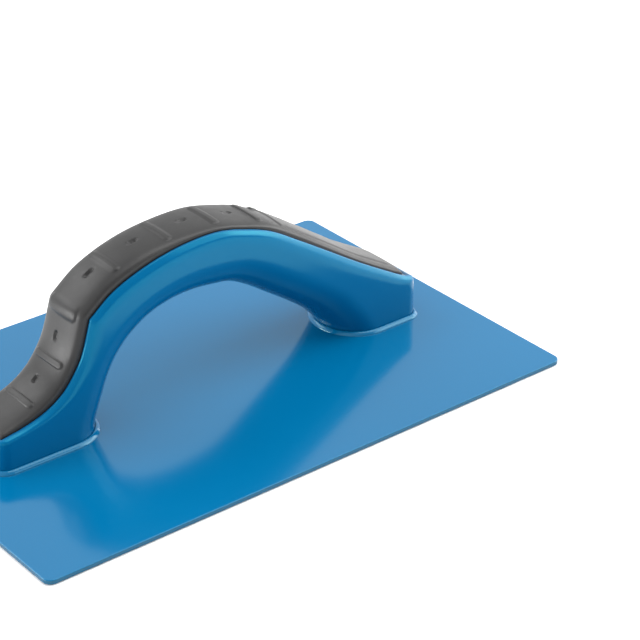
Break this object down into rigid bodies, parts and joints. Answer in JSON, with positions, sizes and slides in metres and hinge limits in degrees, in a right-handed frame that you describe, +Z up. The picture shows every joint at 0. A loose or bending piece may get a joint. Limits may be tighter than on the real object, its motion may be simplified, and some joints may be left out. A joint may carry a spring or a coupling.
{
  "type": "plastic finishing float",
  "caption": "Hand float with a thin rectangular plastic blade and an arched handle under a soft grip, for smoothing plaster, render and concrete.",
  "frame": {"origin": "middle of the blade's flat working face, which is the lowest face", "axes": "+X along the handle towards its long sloping leg, +Y across the blade, +Z up out of the blade"},
  "size_m": [0.27, 0.18, 0.08],
  "materials": {
    "blade_plastic": "satin moulded plastic",
    "handle_plastic": "satin moulded plastic",
    "carrier_plastic": "moulded plastic",
    "grip_rubber": "soft matt rubber with raised pads",
    "screw_steel": "zinc plated",
    "washer_steel": "zinc plated"
  },
  "bodies": {
    "root": {"blade_plate": "blade_plastic", "handle_shell": "handle_plastic", "grip_carrier": "carrier_plastic", "soft_grip": "grip_rubber", "screw_left_outer": "screw_steel", "screw_left_inner": "screw_steel", "screw_right_inner": "screw_steel", "screw_right_outer": "screw_steel", "washer_left_outer": "washer_steel", "washer_left_inner": "washer_steel", "washer_right_inner": "washer_steel", "washer_right_outer": "washer_steel"}
  },
  "joints": []
}
